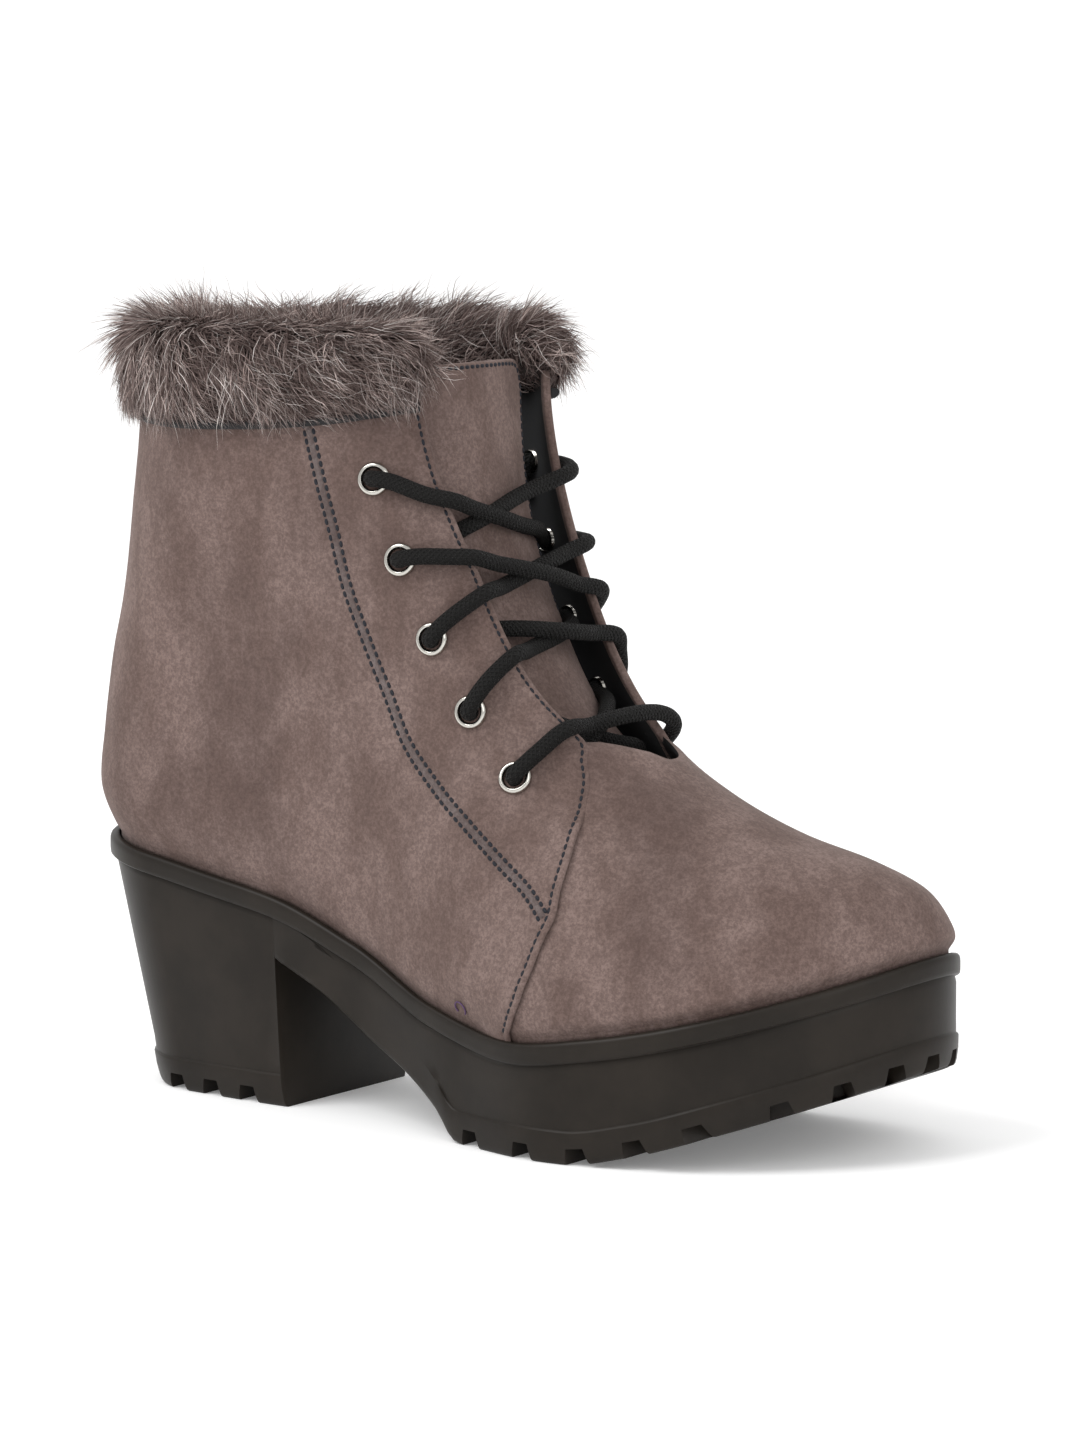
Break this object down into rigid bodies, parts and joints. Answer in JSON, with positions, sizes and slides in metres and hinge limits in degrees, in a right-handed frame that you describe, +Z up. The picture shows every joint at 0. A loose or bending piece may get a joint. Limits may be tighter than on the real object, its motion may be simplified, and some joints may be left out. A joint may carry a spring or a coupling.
{
  "type": "snow boot",
  "caption": "Lace-up suede ankle snow boot with fur cuff on a moulded platform sole with block heel, right foot.",
  "frame": {"origin": "on the ground, under the middle of the heel block, on its flat bottom", "axes": "+X runs forward from heel to toe, +Y to the medial (inner) side, +Z up out of the collar"},
  "size_m": [0.2481, 0.0984, 0.203],
  "materials": {
    "suede": "matt napped suede",
    "rubber": "satin moulded rubber",
    "lining": "matt",
    "fur": "matt pile",
    "nickel": "polished nickel",
    "lace": "matt braid"
  },
  "bodies": {
    "root": {"sole_unit": "rubber", "insole": "lining", "upper": "suede", "tongue": "suede", "fur_cuff": "fur", "eyelet_lateral_1": "nickel", "eyelet_lateral_2": "nickel", "eyelet_lateral_3": "nickel", "eyelet_lateral_4": "nickel", "eyelet_lateral_5": "nickel", "eyelet_medial_1": "nickel", "eyelet_medial_2": "nickel", "eyelet_medial_3": "nickel", "eyelet_medial_4": "nickel", "eyelet_medial_5": "nickel", "lace_cross_1": "lace", "lace_cross_2": "lace", "lace_cross_3": "lace", "lace_cross_4": "lace", "lace_bar": "lace"}
  },
  "joints": []
}
